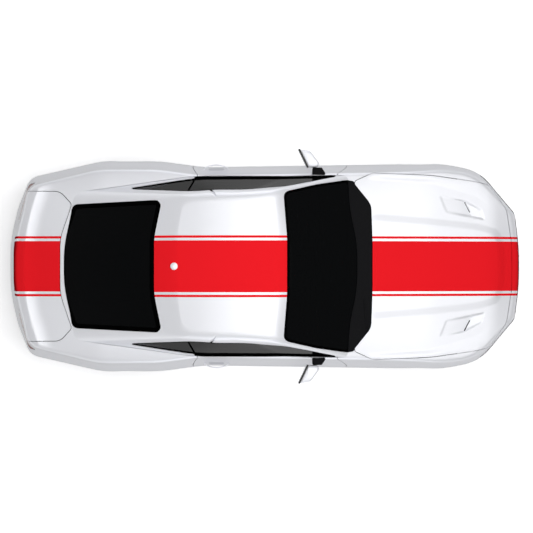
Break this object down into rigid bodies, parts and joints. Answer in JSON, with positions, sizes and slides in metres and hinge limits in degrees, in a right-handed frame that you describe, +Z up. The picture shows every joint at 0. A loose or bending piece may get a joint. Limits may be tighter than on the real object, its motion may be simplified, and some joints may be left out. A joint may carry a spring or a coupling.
{
  "type": "two-door fastback muscle car",
  "caption": "Two-door fastback car with long hood, opening doors, hood and trunk lid, turning wheels and linked front-wheel steering.",
  "frame": {"origin": "on the ground, under the middle of the car's overall length and width", "axes": "+X forward out of the nose, +Y to the car's left, +Z up"},
  "size_m": [4.784, 2.106, 1.4],
  "materials": {
    "white_paint": "gloss",
    "tinted_glass": "polished",
    "black_plastic": "matte",
    "shell_steel": "satin",
    "chassis_steel": "satin",
    "cast_knuckle": "cast",
    "cast_engine": "cast",
    "exhaust_steel": "brushed",
    "tyre_rubber": "matte",
    "wheel_alloy": "satin",
    "seal_rubber": "matte",
    "headlamp_lens": "polished",
    "tail_lamp_lens": "gloss",
    "wheel_leather": "satin",
    "seat_leather": "satin"
  },
  "bodies": {
    "body": {"cowl": "black_plastic", "front_bumper": "white_paint", "fender_left": "white_paint", "fender_right": "white_paint", "rear_bumper": "white_paint", "side_left": "white_paint", "side_right": "white_paint", "roof": "white_paint", "windshield": "tinted_glass", "rear_window": "tinted_glass", "quarter_glass": "tinted_glass", "unibody": "shell_steel", "door_seals": "seal_rubber", "headlamps": "headlamp_lens", "tail_lamps": "tail_lamp_lens", "grille": "black_plastic", "roof_antenna": "white_paint", "front_subframe": "chassis_steel", "rear_axle": "chassis_steel", "engine": "cast_engine", "radiator": "chassis_steel", "driveshaft": "chassis_steel", "exhaust": "exhaust_steel", "dashboard": "black_plastic", "front_seats": "seat_leather", "rear_seat": "seat_leather"},
    "hood": {"hood": "white_paint"},
    "trunk_lid": {"trunk_lid": "white_paint"},
    "door_left": {"door_left": "white_paint", "door_glass_left": "tinted_glass", "mirror_left": "white_paint"},
    "door_right": {"door_right": "white_paint", "door_glass_right": "tinted_glass", "mirror_right": "white_paint"},
    "steering_wheel": {"steering_wheel": "wheel_leather"},
    "knuckle_left": {"knuckle_left": "cast_knuckle"},
    "knuckle_right": {"knuckle_right": "cast_knuckle"},
    "wheel_front_left": {"tyre_front_left": "tyre_rubber", "rim_front_left": "wheel_alloy"},
    "wheel_front_right": {"tyre_front_right": "tyre_rubber", "rim_front_right": "wheel_alloy"},
    "wheel_rear_left": {"tyre_rear_left": "tyre_rubber", "rim_rear_left": "wheel_alloy"},
    "wheel_rear_right": {"tyre_rear_right": "tyre_rubber", "rim_rear_right": "wheel_alloy"}
  },
  "joints": [
    {"name": "steer_left", "type": "hinge", "parent": "body", "child": "knuckle_left", "pos_m": [1.44, 0.725, 0.345], "axis": [0, 0, 1], "range_deg": [-33, 33]},
    {"name": "steer_right", "type": "hinge", "parent": "body", "child": "knuckle_right", "pos_m": [1.44, -0.725, 0.345], "axis": [0, 0, 1], "range_deg": [-33, 33]},
    {"name": "steering_wheel_turn", "type": "hinge", "parent": "body", "child": "steering_wheel", "pos_m": [0.31, 0.37, 0.82], "axis": [0.9272, 0, -0.3746], "range_deg": [-462, 462]},
    {"name": "wheel_front_left_spin", "type": "hinge", "parent": "knuckle_left", "child": "wheel_front_left", "pos_m": [1.44, 0.791, 0.345], "axis": [0, 1, 0], "continuous": true},
    {"name": "wheel_front_right_spin", "type": "hinge", "parent": "knuckle_right", "child": "wheel_front_right", "pos_m": [1.44, -0.791, 0.345], "axis": [0, 1, 0], "continuous": true},
    {"name": "wheel_rear_left_spin", "type": "hinge", "parent": "body", "child": "wheel_rear_left", "pos_m": [-1.28, 0.808, 0.345], "axis": [0, 1, 0], "continuous": true},
    {"name": "wheel_rear_right_spin", "type": "hinge", "parent": "body", "child": "wheel_rear_right", "pos_m": [-1.28, -0.808, 0.345], "axis": [0, 1, 0], "continuous": true},
    {"name": "door_left_swing", "type": "hinge", "parent": "body", "child": "door_left", "pos_m": [0.745, 0.94, 0.6], "axis": [0, 0, -1], "range_deg": [0, 65]},
    {"name": "door_right_swing", "type": "hinge", "parent": "body", "child": "door_right", "pos_m": [0.745, -0.94, 0.6], "axis": [0, 0, 1], "range_deg": [0, 65]},
    {"name": "hood_lift", "type": "hinge", "parent": "body", "child": "hood", "pos_m": [0.805, 0, 0.96], "axis": [0, -1, 0], "range_deg": [0, 60]},
    {"name": "trunk_lift", "type": "hinge", "parent": "body", "child": "trunk_lid", "pos_m": [-1.7, 0, 1.045], "axis": [0, 1, 0], "range_deg": [0, 75]}
  ],
  "couplings": [
    {"joint": "steer_right", "follows": "steer_left", "ratio": 1},
    {"joint": "steering_wheel_turn", "follows": "steer_left", "ratio": -14}
  ]
}
